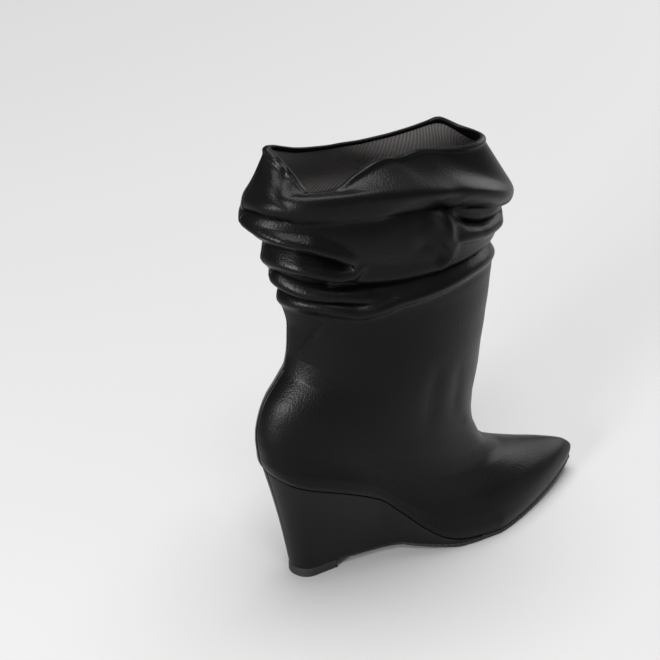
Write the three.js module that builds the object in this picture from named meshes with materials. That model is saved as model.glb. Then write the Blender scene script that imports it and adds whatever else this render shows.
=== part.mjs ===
// Wedge slouch boot for the right foot, in millimetres, standing empty on its sole.
// +X runs to the toe, +Y to the inner side of the foot and +Z up.
// The origin is the middle of the underside of the heel's top piece.
import * as THREE from "three";

// Foot and sole
const SOLE_LENGTH = 252;
const BALL_WIDTH = 78;
const HEEL_SEAT_HEIGHT = 89;
const TOE_SPRING = 7.7;
const OUTSOLE_THICKNESS = 3;
const SHANK_THICKNESS = 1.6;
const SHANK_INSET = 1;
const INSOLE_THICKNESS = 2;

// Heel and wedge
const TOP_LIFT_THICKNESS = 6.6;
const TOP_LIFT_LENGTH = 29;
const TOP_LIFT_WIDTH = 24;
const HEEL_PITCH = 19;
const HEEL_HOLLOW = 1.2;
const WEDGE_LENGTH = 148;

// Upper
const COLLAR_HEIGHT = 300;
const SHAFT_WIDTH = 84;
const SHAFT_DEPTH = 150;
const WALL = 1.8;
const FOLD_DEPTH = 8;
const FOLD_WIDTH = 6.5;

// Fits and fineness
const CLEARANCE = 0.3;
const SEAT_CLEARANCE = 0.4;
const AROUND = 56;
const PLAIN_ROWS = 14;
const FOLD_STEPS = 3;
const COLLAR_STEPS = 2;
const SOLE_STEPS = 24;

const percent = (share, size) => (share * size) / 100;
const mix = THREE.MathUtils.lerp;
const BALL_HEIGHT = OUTSOLE_THICKNESS + CLEARANCE;

// Smooth curve through a table of [place, value] rows, level at each turning point.
function through(rows, place) {
  const last = rows.length - 1;
  let i = 0;
  while (i < last - 1 && place > rows[i + 1][0]) i += 1;
  const slope = (k) => (rows[k + 1][1] - rows[k][1]) / (rows[k + 1][0] - rows[k][0]);
  const lean = (k) => {
    if (k === 0 || k === last) return slope(Math.min(k, last - 1));
    const [before, after] = [slope(k - 1), slope(k)];
    return before * after > 0 ? (2 * before * after) / (before + after) : 0;
  };
  const run = rows[i + 1][0] - rows[i][0];
  const t = THREE.MathUtils.clamp((place - rows[i][0]) / run, 0, 1);
  const rest = 1 - t;
  return rows[i][1] * rest * rest * (1 + 2 * t) + rows[i + 1][1] * t * t * (3 - 2 * t)
    + run * t * rest * (lean(i) * rest - lean(i + 1) * t);
}

// Height of the line where the upper meets the sole: [percent of length, percent of heel rise].
const SEAT_PROFILE = [
  [0, 100], [4.5, 92.5], [16, 81], [28, 62], [35, 42], [42, 21.5], [47.5, 9.5], [54, 3], [65, 0], [100, 0],
];
const BALL_STATION = 65;

function seatHeight(share) {
  const station = share * 100;
  const rise = percent(through(SEAT_PROFILE, station), HEEL_SEAT_HEIGHT - BALL_HEIGHT);
  const past = Math.max(0, station - BALL_STATION) / (100 - BALL_STATION);
  return BALL_HEIGHT + rise + TOE_SPRING * past * past;
}

// Rings of the inner side of the upper's wall from the seat line to the top roll's ridge, in percents.
// The wall runs straight from the ridge to the collar's edge. backX is of SOLE_LENGTH, backZ and frontZ
// of the rise from the seat line to the collar, run of the ring's own length, lateral and medial of its
// half width, widest of its run, and bow, backY and frontY of its half width. shaft says how far the ring
// follows the shaft's sizes instead of the foot's.
const RING_COLUMNS = [
  "backX", "backZ", "run", "frontZ", "lateral", "medial", "shaft", "widest", "rearLateral", "rearMedial",
  "toePower", "toeRoot", "waist", "sag", "bow", "backY", "frontY",
];
const RINGS = [
  [0, 0, 100, 0, 103, 95, 0, 65, 2.9, 2.3, 1.2, 1.2, 21, 100, 0, 0, 2],
  [-0.5, 2.4, 100.3, 2.4, 104.5, 97, 0, 65, 2.9, 2.3, 1.2, 1.25, 19, 93, 0, 0, 2],
  [-1, 4.8, 98.5, 4.5, 104, 95, 0, 64.5, 2.9, 2.1, 1.3, 1.4, 16, 84, 0, 0, 3],
  [-1.3, 7.1, 94.2, 6.3, 100, 90, 0, 64, 2.8, 2, 1.4, 1.5, 12, 70, 0, 0, 3],
  [-1.6, 9.5, 87.5, 8.2, 95, 86, 0, 62, 2.7, 1.9, 1.5, 1.6, 8, 54, 0, 0, 3],
  [-1.8, 11.9, 81.5, 10.2, 92.5, 84, 0.02, 60, 2.5, 1.8, 1.6, 1.7, 5, 38, 0, 0, 3],
  [-1.8, 14.2, 77.2, 12.6, 91, 83, 0.1, 57, 2.3, 1.7, 1.7, 1.8, 3, 24, 0, 0, 2],
  [-1.5, 17, 75.8, 16, 91, 83, 0.22, 54, 2.1, 1.6, 1.8, 1.8, 1, 13, 0, 0, 0],
  [-0.8, 20.4, 76.8, 20.8, 92.5, 85, 0.38, 52, 1.9, 1.5, 1.9, 1.8, 0, 6, 0, 0, -2],
  [0.9, 25.1, 80.4, 26.6, 94, 88, 0.58, 50, 1.8, 1.4, 2, 1.8, 0, 2, 0, 0, -2],
  [3.9, 29.9, 85.4, 32.9, 96, 90, 0.78, 50, 1.7, 1.3, 2, 1.8, 0, 0, 0, 0, -2],
  [6.8, 35, 91, 40.5, 99, 92, 0.92, 50, 1.6, 1.3, 2, 1.7, 0, 0, 0, 0, -2],
  [7.7, 42.2, 96, 48.8, 101, 94, 1, 50, 1.6, 1.3, 2, 1.7, 0, 0, 0, 0, -2],
  [7.8, 48.8, 97.8, 56.7, 102, 95, 1, 50, 1.6, 1.3, 2, 1.7, 0, 0, 0, 0, -2],
  [6.6, 55.5, 101, 63.7, 103, 96, 1, 50, 1.6, 1.3, 2, 1.7, 0, 0, 0, 0, -3],
  [5, 60.7, 104, 67, 104.5, 97, 1, 50, 1.7, 1.3, 2, 1.7, 0, 0, 0, 0, -4],
  [3.6, 65, 106, 69.5, 105, 97, 1, 50, 1.7, 1.3, 2, 1.7, 0, 0, 0, 0, -4],
  [1.7, 72, 110, 71.2, 106, 97, 1, 50, 1.8, 1.3, 2, 1.7, 0, 0, 0, 0, -4],
  [0.1, 80, 112, 72.2, 106, 97, 1, 50, 2, 1.3, 2, 1.8, 0, 0, 0, 0, -5],
  [-2.6, 84.8, 117, 75, 110, 97, 1, 50, 2.2, 1.4, 2, 1.9, 0, 0, 5, 0, -8],
  [-5.2, 90.5, 123, 78.6, 114, 94, 1, 50, 2.3, 1.4, 2, 2, 0, 0, 12, 0, -14],
  [-4.6, 95.7, 120.5, 81.4, 111, 88, 1, 50, 2.4, 1.4, 2, 2, 0, 0, 24, 1, -22],
  [-2.4, 99, 122.5, 84, 106, 78, 1, 50, 2.8, 1.4, 2, 2, 0, 0, 36, 3, -26],
].map((row) => Object.fromEntries(RING_COLUMNS.map((name, i) => [name, row[i]])));

// The collar's edge once round from the back seam, over the outer side: [turn, forward, inward, height].
// turn is a percent of the whole way, forward of SHAFT_DEPTH from the heel, inward of SHAFT_WIDTH and
// height of COLLAR_HEIGHT.
const COLLAR_EDGE = [
  [0, 5, 3.5, 106.7], [5, 9, -17, 102.6], [10, 13, -31, 99], [15, 21, -36, 99.3], [20, 32, -35, 100.5],
  [25, 45, -33, 101], [30, 59, -33.5, 101.2], [35, 72, -34, 101], [40, 86, -36, 100.4], [43, 94, -33, 100.2],
  [45.5, 100.5, -23, 99.6], [48, 97, -8, 99.6], [50, 89.5, 5, 101.6], [53, 86, 10, 100.8], [60, 76, 15, 99.6],
  [65, 66, 18.5, 99], [70, 55, 21.5, 98.8], [75, 44, 24, 99.1], [80, 34, 23, 100], [85, 25, 20, 101.4],
  [90, 17, 15, 103.4], [95, 10, 9.5, 105.4], [100, 5, 3.5, 106.7],
];
const COLLAR_ROWS = 3;
const RIDGE = RINGS.length - 1;

function collarPoint(turn) {
  const column = (i) => COLLAR_EDGE.map((row) => [row[0], row[i]]);
  return new THREE.Vector3(
    percent(through(column(1), turn * 100), SHAFT_DEPTH),
    percent(through(column(2), turn * 100), SHAFT_WIDTH),
    percent(through(column(3), turn * 100), COLLAR_HEIGHT),
  );
}

// One ring between the rows of the table: a smooth blend of every column.
function ringAt(level) {
  const ring = {};
  for (const name of RING_COLUMNS) {
    ring[name] = through(RINGS.map((row, i) => [i, row[name]]), level);
  }
  return ring;
}

// Middle and half length of the foot's waist, in percent of a ring's run
const WAIST_STATION = 33;
const WAIST_SPREAD = 12;

// Half width of a ring at a share of its run, as a share of its widest half width.
function fullness(ring, share, rearRoot) {
  const widest = ring.widest / 100;
  const behind = share < widest;
  const away = behind ? (widest - share) / widest : (share - widest) / (1 - widest);
  const power = behind ? 2 : ring.toePower;
  const root = behind ? rearRoot : ring.toeRoot;
  const full = Math.max(0, 1 - away ** power) ** (1 / root);
  const waist = (share * 100 - WAIST_STATION) / WAIST_SPREAD;
  return full * (1 - percent(ring.waist, Math.exp(-waist * waist)));
}

// Point of a ring. turn runs from 0 at the back seam past the outer side and the front to 1.
function ringPoint(ring, turn) {
  const angle = turn * 2 * Math.PI;
  const outer = Math.sin(angle) >= 0;
  const share = (1 - Math.cos(angle)) / 2;
  const half = mix(BALL_WIDTH, SHAFT_WIDTH, ring.shaft) / 2;
  const length = mix(SOLE_LENGTH, SHAFT_DEPTH, ring.shaft);
  const rear = outer ? ring.rearLateral : ring.rearMedial;
  const width = percent(outer ? -ring.lateral : ring.medial, half) * fullness(ring, share, rear);
  const backSeat = seatHeight(0);
  const toeSeat = seatHeight(1);
  const backZ = backSeat + percent(ring.backZ, COLLAR_HEIGHT - backSeat);
  const frontZ = toeSeat + percent(ring.frontZ, COLLAR_HEIGHT - toeSeat);
  const sag = percent(ring.sag, seatHeight(share) - mix(backSeat, toeSeat, share));
  const bow = outer ? percent(ring.bow, half) * Math.sin(Math.PI * share) : 0;
  return new THREE.Vector3(
    percent(ring.backX, SOLE_LENGTH) + percent(ring.run, length) * share,
    width + percent(mix(ring.backY, ring.frontY, share), half),
    mix(backZ, frontZ, share) + sag + bow,
  );
}

// Slouch folds. Each follows a path of [turn, height, depth] points: turn in percent of the whole way
// round, height of COLLAR_HEIGHT and depth of FOLD_DEPTH, inwards, or outwards where it is negative.
// above and below are the fold's half widths on either side of its path, in percent of FOLD_WIDTH.
const FOLDS = [
  { name: "rear pinch", above: 100, below: 95,
    path: [[-4, 87.4, 0], [0, 87.3, 30], [4, 86.2, 85], [8, 85.6, 110], [12.3, 84.5, 110], [15, 83.3, 100],
      [16, 82.5, 85]] },
  { name: "ridge round the rear pinch", above: 45, below: 45,
    path: [[1, 82.7, 0], [4, 82.4, -22], [9, 81.8, -28], [14, 80.5, -30], [16.4, 80.8, -30],
      [17.4, 82.4, -30], [17, 84.2, -30], [15.5, 85.9, -30], [12.3, 88, -30], [8, 89.2, -28], [4, 90, -20],
      [0, 91, 0]] },
  { name: "ankle pinch", above: 62, below: 60,
    path: [[-4, 73.5, 20], [0, 73.5, 30], [6, 73.3, 75], [10, 72.5, 85], [14, 72, 85], [16.6, 71.8, 75]] },
  { name: "ridge round the ankle pinch", above: 35, below: 35,
    path: [[1, 70.4, -8], [6, 71.2, -16], [10.6, 70.6, -18], [14.5, 70, -18], [17, 70.2, -18],
      [18, 71.4, -18], [17.4, 73, -16], [13.5, 74.2, -16], [9.4, 74.7, -14], [4, 76, 0]] },
  { name: "long crease", above: 45, below: 75,
    path: [[9, 78.3, 0], [12, 78.1, 35], [17.3, 77.5, 62], [21, 77, 72], [25, 76.5, 76], [29.7, 75.6, 76],
      [33.7, 75, 72], [38.5, 74, 66], [42, 73, 60], [46, 72.2, 50], [50, 72, 45], [55, 72.6, 50]] },
  { name: "ankle crest", above: 50, below: 60,
    path: [[17.5, 71, -10], [19.5, 72, -24], [25, 73.3, -28], [29.6, 73.6, -30], [33.5, 73.1, -28],
      [41.5, 71, -22], [48, 69.6, -8]] },
  { name: "dent of the second roll", above: 60, below: 50,
    path: [[1.5, 80, 10], [4.7, 79, 36], [7.5, 77.8, 42], [10, 77, 30]] },
  { name: "dimple of the top roll", above: 105, below: 105,
    path: [[25.6, 90, 30], [26.6, 86, 55], [27.8, 82.5, 45]] },
  { name: "upright fold of the top roll", above: 50, below: 50,
    path: [[29.4, 95, -16], [29.3, 92, -32], [29.6, 89, -36], [30, 85, -34], [30.8, 80, -16]] },
  { name: "hollow before the upright fold", above: 90, below: 90,
    path: [[32.6, 91, 30], [33.2, 87.5, 42], [33.6, 83.5, 36]] },
  { name: "front hollow of the top roll", above: 70, below: 80,
    path: [[35, 86.5, 20], [40, 84.5, 30], [46, 82.5, 10]] },
  { name: "hollow under the lip", above: 70, below: 100,
    path: [[20, 95, 0], [25, 94.3, 40], [30, 92.4, 55], [34, 89.6, 55], [38, 85.8, 45], [43, 82.6, 25],
      [48, 81, 5]] },
  { name: "lip", above: 60, below: 50,
    path: [[14, 99, 0], [18, 98.7, -12], [22, 97.8, -18], [25, 97.2, -20], [28, 96, -20], [31, 94.7, -20],
      [34, 92.6, -20], [38, 89, -18], [43, 85.2, -10], [48, 83.4, 0]] },
  { name: "inner long crease", above: 65, below: 75,
    path: [[97, 86.4, 0], [90, 83.6, 45], [82, 81.3, 62], [72, 78.6, 62], [62, 75.3, 56], [55, 73, 45]] },
  { name: "inner ankle pinch", above: 62, below: 62,
    path: [[96, 74, 15], [90, 74.6, 45], [80, 72.6, 50], [72, 70.6, 20]] },
  { name: "inner top hollow", above: 110, below: 110,
    path: [[88, 90, 20], [80, 87.6, 58], [70, 85, 50], [66, 84, 20]] },
  { name: "inner upright fold", above: 65, below: 65,
    path: [[60, 90, -10], [66, 85.6, -26], [70, 82, -16]] },
];
const SHAFT_GIRTH = (Math.PI * (SHAFT_DEPTH + SHAFT_WIDTH)) / 2;

// How far one fold moves a place of the shaft, given round and up in millimetres.
function foldDepth(fold, round, up) {
  let nearest = { gap: Infinity };
  for (let i = 0; i + 1 < fold.path.length; i += 1) {
    const [from, to] = [fold.path[i], fold.path[i + 1]];
    const [ax, ay] = [percent(from[0], SHAFT_GIRTH), percent(from[1], COLLAR_HEIGHT)];
    const [dx, dy] = [percent(to[0], SHAFT_GIRTH) - ax, percent(to[1], COLLAR_HEIGHT) - ay];
    for (const place of [round, round - SHAFT_GIRTH]) {
      const along = THREE.MathUtils.clamp(
        ((place - ax) * dx + (up - ay) * dy) / (dx * dx + dy * dy), 0, 1);
      const [gx, gy] = [place - ax - dx * along, up - ay - dy * along];
      const gap = Math.hypot(gx, gy);
      if (gap < nearest.gap) nearest = { gap, over: gy >= 0, depth: mix(from[2], to[2], along) };
    }
  }
  const reach = nearest.gap / percent(nearest.over ? fold.above : fold.below, FOLD_WIDTH);
  return percent(nearest.depth, FOLD_DEPTH) * Math.exp(-reach * reach);
}

// The ring's point moved inwards by every fold near it.
function folded(point, turn) {
  const round = turn * SHAFT_GIRTH;
  const depth = FOLDS.reduce((sum, fold) => sum + foldDepth(fold, round, point.z), 0);
  const angle = turn * 2 * Math.PI;
  const inward = new THREE.Vector3(
    Math.cos(angle) / SHAFT_DEPTH, Math.sin(angle) / SHAFT_WIDTH, 0).normalize();
  return point.addScaledVector(inward, depth);
}

// Places of the rings in the table: closer together in the folds than on the plain foot and ankle.
function ringLevels(top) {
  const levels = [];
  for (let row = 0; row < top; row += 1) {
    const steps = row < PLAIN_ROWS ? 1 : row < RIDGE ? FOLD_STEPS : COLLAR_STEPS;
    for (let step = 0; step < steps; step += 1) levels.push(row + step / steps);
  }
  return [...levels, top];
}

function upperGrid() {
  return ringLevels(RIDGE + COLLAR_ROWS).map((level) => {
    const ring = ringAt(Math.min(level, RIDGE));
    const rise = THREE.MathUtils.clamp((level - RIDGE) / COLLAR_ROWS, 0, 1);
    return Array.from({ length: AROUND }, (_, j) => {
      const turn = j / AROUND;
      return folded(ringPoint(ring, turn).lerp(collarPoint(turn), rise), turn);
    });
  });
}

// A grid's points moved outwards, each ring by its own reach. The seat line's own ring moves level.
function movedOut(grid, reach) {
  const last = grid.length - 1;
  return grid.map((ring, i) => ring.map((point, j) => {
    const across = ring[(j + 2) % AROUND].clone().sub(ring[(j + AROUND - 2) % AROUND]);
    const up = grid[Math.min(i + 1, last)][j].clone().sub(grid[Math.max(i - 1, 0)][j]);
    const outward = across.cross(up);
    if (i === 0) outward.z = 0;
    return point.clone().addScaledVector(outward.normalize(), reach(i));
  }));
}

// How far each of the lowest rings is drawn in, in percent of the wall: the edge is flush with the sole.
const SEAT_TUCK = [100, 20];
const tuck = (i) => percent(SEAT_TUCK[i] ?? 0, WALL);

function closedBody(points, faces) {
  const geometry = new THREE.BufferGeometry();
  geometry.setAttribute("position", new THREE.Float32BufferAttribute(points.flatMap((p) => p.toArray()), 3));
  geometry.setIndex(faces);
  return geometry;
}

// Closed skin between two grids of rings that are open at both ends.
function shell(innerGrid, outerGrid) {
  const rings = [...innerGrid, ...outerGrid.slice().reverse()];
  const faces = [];
  rings.forEach((ring, i) => {
    const next = (i + 1) % rings.length;
    for (let j = 0; j < AROUND; j += 1) {
      const k = (j + 1) % AROUND;
      const [a, b] = [i * AROUND + j, i * AROUND + k];
      const [c, d] = [next * AROUND + k, next * AROUND + j];
      const points = [ring[j], ring[k], rings[next][k], rings[next][j]];
      const straight = points[0].distanceTo(points[2]) < points[1].distanceTo(points[3]);
      if (straight) faces.push(a, c, b, a, d, c);
      else faces.push(a, d, b, b, d, c);
    }
  });
  return closedBody(rings.flat(), faces);
}

// Closed body from cross sections along the foot. A section is a list of levels from top to bottom,
// each with its own x, z and half widths to the outer and inner side. A first or last section of no
// width closes to an upright edge.
const NO_WIDTH = 1e-6;

function slab(sections) {
  const levels = sections[0].length;
  const points = [];
  const index = sections.map((section) => {
    const shut = section.every((level) => level.outer + level.inner < NO_WIDTH);
    const side = (sign) => section.map((level) => {
      points.push(new THREE.Vector3(level.x, sign < 0 ? -level.outer : level.inner, level.z));
      return points.length - 1;
    });
    const outer = side(-1);
    return { outer, inner: shut ? outer : side(1) };
  });
  const faces = [];
  const quad = (a, b, c, d) => {
    if (a !== b && b !== c && a !== c) faces.push(a, b, c);
    if (a !== c && c !== d && a !== d) faces.push(a, c, d);
  };
  for (let i = 0; i + 1 < index.length; i += 1) {
    const [p, q] = [index[i], index[i + 1]];
    const low = levels - 1;
    for (let k = 0; k < low; k += 1) {
      quad(p.outer[k], p.outer[k + 1], q.outer[k + 1], q.outer[k]);
      quad(p.inner[k], q.inner[k], q.inner[k + 1], p.inner[k + 1]);
    }
    quad(p.outer[0], q.outer[0], q.inner[0], p.inner[0]);
    quad(p.outer[low], p.inner[low], q.inner[low], q.outer[low]);
  }
  const [first, last] = [index[0], index[index.length - 1]];
  for (let k = 0; k + 1 < levels; k += 1) {
    quad(first.outer[k], first.inner[k], first.inner[k + 1], first.outer[k + 1]);
    quad(last.outer[k], last.outer[k + 1], last.inner[k + 1], last.inner[k]);
  }
  return closedBody(points, faces);
}

// Half widths of the seat line at a distance from the heel's back, as { outer, inner }.
function seatWidths(x) {
  const ring = RINGS[0];
  const share = THREE.MathUtils.clamp(x / SOLE_LENGTH, 0, 1);
  const middle = percent(mix(ring.backY, ring.frontY, share), BALL_WIDTH / 2);
  const side = (size, root) => percent(size, BALL_WIDTH / 2) * fullness(ring, share, root);
  return {
    outer: side(ring.lateral, ring.rearLateral) - middle,
    inner: side(ring.medial, ring.rearMedial) + middle,
  };
}

// The underside of the wedge and shank: [percent of the way from the lift's front to the wedge's end,
// percent of the flare from the lift's half width to the seat line's, percent of the drop to the ball].
const SHANK_FLARE = [[0, 0], [25, 13], [46, 30], [56, 60], [70, 84], [87, 99], [100, 100]];
const SHANK_DROP = [[0, 0], [25, 14], [46, 30], [56, 44], [70, 72], [87, 98], [100, 100]];
const LIFT_FRONT = HEEL_PITCH + TOP_LIFT_LENGTH;
const LIFT_TOP = TOP_LIFT_THICKNESS + CLEARANCE;

const pastLift = (x) => Math.max(0, (x - LIFT_FRONT) / (WEDGE_LENGTH - LIFT_FRONT)) * 100;

// Half width of the heel's foot, round at the back.
function liftHalf(x) {
  const radius = TOP_LIFT_WIDTH / 2;
  const short = Math.max(0, radius - (x - HEEL_PITCH));
  return Math.sqrt(Math.max(0, radius * radius - short * short));
}

function shankTop(x) {
  return mix(LIFT_TOP, BALL_HEIGHT, percent(through(SHANK_DROP, pastLift(x)), 1)) - CLEARANCE;
}

function shankWidths(x) {
  const seat = seatWidths(x);
  const flare = percent(through(SHANK_FLARE, pastLift(x)), 1);
  const lift = liftHalf(x);
  return { outer: mix(lift, seat.outer, flare), inner: mix(lift, seat.inner, flare) };
}

// Wedge heel: upright walls from the seat line in to the heel's foot, a little hollow in between.
const WEDGE_LEVELS = 7;

function wedge() {
  const sections = [];
  for (let i = 0; i <= SOLE_STEPS; i += 1) {
    const share = 1 - Math.cos((Math.PI / 2) * (i / SOLE_STEPS));
    const topX = WEDGE_LENGTH * share;
    const footX = mix(HEEL_PITCH, WEDGE_LENGTH, share);
    const seat = seatWidths(topX);
    const foot = shankWidths(footX);
    const topZ = seatHeight(topX / SOLE_LENGTH) - SEAT_CLEARANCE;
    const footZ = shankTop(footX) + CLEARANCE;
    sections.push(Array.from({ length: WEDGE_LEVELS }, (_, k) => {
      const down = k / (WEDGE_LEVELS - 1);
      const tall = THREE.MathUtils.clamp((topZ - footZ) / HEEL_SEAT_HEIGHT, 0, 1);
      const hollow = HEEL_HOLLOW * tall * Math.sin(Math.PI * down);
      const side = (top, low) => Math.max(0, mix(top, low, down) - (top > 0 ? hollow : 0));
      return {
        x: mix(topX, footX, down) + hollow * (1 - share),
        z: mix(topZ, footZ, down),
        outer: side(seat.outer, foot.outer),
        inner: side(seat.inner, foot.inner),
      };
    }));
  }
  return slab(sections);
}

// Outsole from the lift's front to the toe, thin under the shank, stepped up where the wedge ends.
function outsole() {
  const stations = [];
  for (let i = 0; i <= SOLE_STEPS; i += 1) {
    stations.push({ x: mix(LIFT_FRONT + CLEARANCE, WEDGE_LENGTH + CLEARANCE, i / SOLE_STEPS), under: true });
  }
  for (let i = 0; i <= SOLE_STEPS; i += 1) {
    const share = Math.sin((Math.PI / 2) * (i / SOLE_STEPS));
    stations.push({ x: mix(WEDGE_LENGTH + 2 * CLEARANCE, SOLE_LENGTH, share), under: false });
  }
  return slab(stations.map(({ x, under }) => {
    const dropped = percent(through(SHANK_DROP, pastLift(x)), 1);
    const top = under ? shankTop(x) : seatHeight(x / SOLE_LENGTH) - SEAT_CLEARANCE;
    const spring = seatHeight(x / SOLE_LENGTH) - BALL_HEIGHT;
    const shank = shankTop(x) - mix(SHANK_THICKNESS, OUTSOLE_THICKNESS, dropped);
    const base = x > percent(BALL_STATION, SOLE_LENGTH) ? spring : shank;
    const inset = mix(SHANK_INSET, 0, dropped);
    const wide = shankWidths(x);
    const outer = Math.max(0, wide.outer - inset);
    const inner = Math.max(0, wide.inner - inset);
    return [{ x, z: top, outer, inner }, { x, z: base, outer, inner }];
  }));
}

// Heel's top piece: a round-backed block under the wedge.
function topLift() {
  const sections = [];
  for (let i = 0; i <= SOLE_STEPS / 2; i += 1) {
    const share = 1 - Math.cos((Math.PI / 2) * (i / (SOLE_STEPS / 2)));
    const x = HEEL_PITCH + TOP_LIFT_LENGTH * share;
    const half = liftHalf(x);
    const level = { x, outer: half, inner: half };
    sections.push([{ ...level, z: TOP_LIFT_THICKNESS }, { ...level, z: 0 }]);
  }
  return slab(sections);
}

// Insole: fills the upper's open bottom inside its wall, and ends short of the narrow tip of the toe.
const INSOLE_GAP = 1.2;
const INSOLE_TIP_HALF = 0.4;
const INSOLE_TIP_GAP = 6;
const SLANT_STEP = 0.5;

function insole() {
  const inset = WALL + INSOLE_GAP;
  const sections = [];
  for (let i = 0; i <= 2 * SOLE_STEPS; i += 1) {
    const share = (1 - Math.cos(Math.PI * (i / (2 * SOLE_STEPS)))) / 2;
    const x = mix(inset, SOLE_LENGTH - INSOLE_TIP_GAP, share);
    const [here, ahead] = [seatWidths(x), seatWidths(x + SLANT_STEP)];
    const side = (name) => {
      const slant = Math.hypot(1, (ahead[name] - here[name]) / SLANT_STEP);
      return Math.max(INSOLE_TIP_HALF, here[name] - inset * slant);
    };
    const z = seatHeight(x / SOLE_LENGTH) + CLEARANCE;
    const level = { x, outer: side("outer"), inner: side("inner") };
    sections.push([{ ...level, z: z + INSOLE_THICKNESS }, { ...level, z }]);
  }
  return slab(sections);
}

function mesh(name, geometry, colour, roughness) {
  const body = new THREE.Mesh(geometry, new THREE.MeshStandardMaterial({
    color: colour, roughness, metalness: 0,
  }));
  body.name = name;
  return body;
}

const lastGrid = upperGrid();
const upperInside = movedOut(lastGrid, (i) => -tuck(i));
const upperOutside = movedOut(lastGrid, (i) => WALL - tuck(i));
const boot = new THREE.Group();
boot.add(
  mesh("upper", shell(upperInside, upperOutside), 0x15151a, 0.4),
  mesh("wedge", wedge(), 0x17171a, 0.45),
  mesh("outsole", outsole(), 0x0e0e0f, 0.7),
  mesh("top_lift", topLift(), 0x0c0c0d, 0.75),
  mesh("insole", insole(), 0x1d1a1a, 0.8),
);
boot.position.x = -(HEEL_PITCH + TOP_LIFT_LENGTH / 2);
export default boot;
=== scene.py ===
"""Wedge slouch boot: the looks of one right boot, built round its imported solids.

Sizes in the tables are millimetres or shares of named sizes, as in the part's own source. Meshes are in
metres: +X runs to the toe, +Y to the inner side of the foot and +Z up.
"""

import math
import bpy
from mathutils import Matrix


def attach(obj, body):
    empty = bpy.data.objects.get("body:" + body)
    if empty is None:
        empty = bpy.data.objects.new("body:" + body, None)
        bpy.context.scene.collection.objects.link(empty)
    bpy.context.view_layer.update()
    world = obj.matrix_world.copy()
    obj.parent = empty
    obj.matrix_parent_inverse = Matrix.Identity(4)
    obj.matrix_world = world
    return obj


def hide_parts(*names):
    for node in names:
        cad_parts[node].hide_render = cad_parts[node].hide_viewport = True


bl_info = {
    "name": "Wedge slouch boot",
    "version": (1, 0, 0),
    "blender": (4, 5, 0),
    "location": "3D View > Sidebar > Boot",
    "description": "Dresses the solids of a slouch boot with a wedge heel",
    "category": "Add Mesh",
}

import bmesh
import bpy
import numpy as np
from mathutils import Vector

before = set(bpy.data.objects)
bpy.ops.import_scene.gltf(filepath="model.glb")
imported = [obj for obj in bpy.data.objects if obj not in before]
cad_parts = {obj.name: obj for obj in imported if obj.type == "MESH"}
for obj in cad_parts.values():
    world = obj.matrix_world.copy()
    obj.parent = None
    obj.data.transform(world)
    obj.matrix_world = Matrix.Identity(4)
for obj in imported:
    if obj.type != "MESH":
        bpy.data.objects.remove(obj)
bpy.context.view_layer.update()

# Foot and sole
SOLE_LENGTH = 252.0
BALL_WIDTH = 78.0
HEEL_SEAT_HEIGHT = 89.0
TOE_SPRING = 7.7
OUTSOLE_THICKNESS = 3.0
SHANK_THICKNESS = 1.6
SHANK_INSET = 1.0
INSOLE_THICKNESS = 2.0
INSOLE_INSET = 3.0
INSOLE_TIP_GAP = 6.0
INSOLE_TIP_HALF = 0.4

# Heel and wedge
TOP_LIFT_THICKNESS = 6.6
TOP_LIFT_LENGTH = 29.0
TOP_LIFT_WIDTH = 24.0
HEEL_PITCH = 19.0
HEEL_HOLLOW = 1.2
WEDGE_LENGTH = 148.0

# Upper
COLLAR_HEIGHT = 300.0
SHAFT_WIDTH = 84.0
SHAFT_DEPTH = 150.0
WALL = 1.8
LEATHER = 1.0
FOLD_DEPTH = 8.0
FOLD_WIDTH = 6.5

# Lips of the folds: how far they close, as a share, and the most depth that counts, in half widths
LIP_CLOSING = 0.7
MOST_CLOSING = 1.2

# Edges of the upper's skin: the bead along the collar and the rounding over the sole
BEAD = 1.5
BEAD_HALF = 2.2
SEAT_ROUND = 0.7
SEAT_ROUND_LEVELS = 0.25

# Lining: how deep in the wall it lies, its gap to the leather's back, its reach behind the facing
LINING_DEPTH = 0.3
LINING_BACK = 0.05
LINING_OVERLAP = 1.2

# Fits
CLEARANCE = 0.3
SEAT_CLEARANCE = 0.4
BALL_HEIGHT = OUTSOLE_THICKNESS + CLEARANCE
LIFT_FRONT = HEEL_PITCH + TOP_LIFT_LENGTH
LIFT_TOP = TOP_LIFT_THICKNESS + CLEARANCE
HEEL_BACK = -(HEEL_PITCH + TOP_LIFT_LENGTH / 2)
MM = 0.001

# Height of the line where the upper meets the sole: percent of length, percent of heel rise
SEAT_PROFILE = [
    (0, 100), (4.5, 92.5), (16, 81), (28, 62), (35, 42), (42, 21.5), (47.5, 9.5), (54, 3), (65, 0), (100, 0),
]
BALL_STATION = 65

# Widening and drop of the shank in percent, by the percent of the way from the top piece to the ball
SHANK_FLARE = [(0, 0), (25, 13), (46, 30), (56, 60), (70, 84), (87, 99), (100, 100)]
SHANK_DROP = [(0, 0), (25, 14), (46, 30), (56, 44), (70, 72), (87, 98), (100, 100)]

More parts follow.
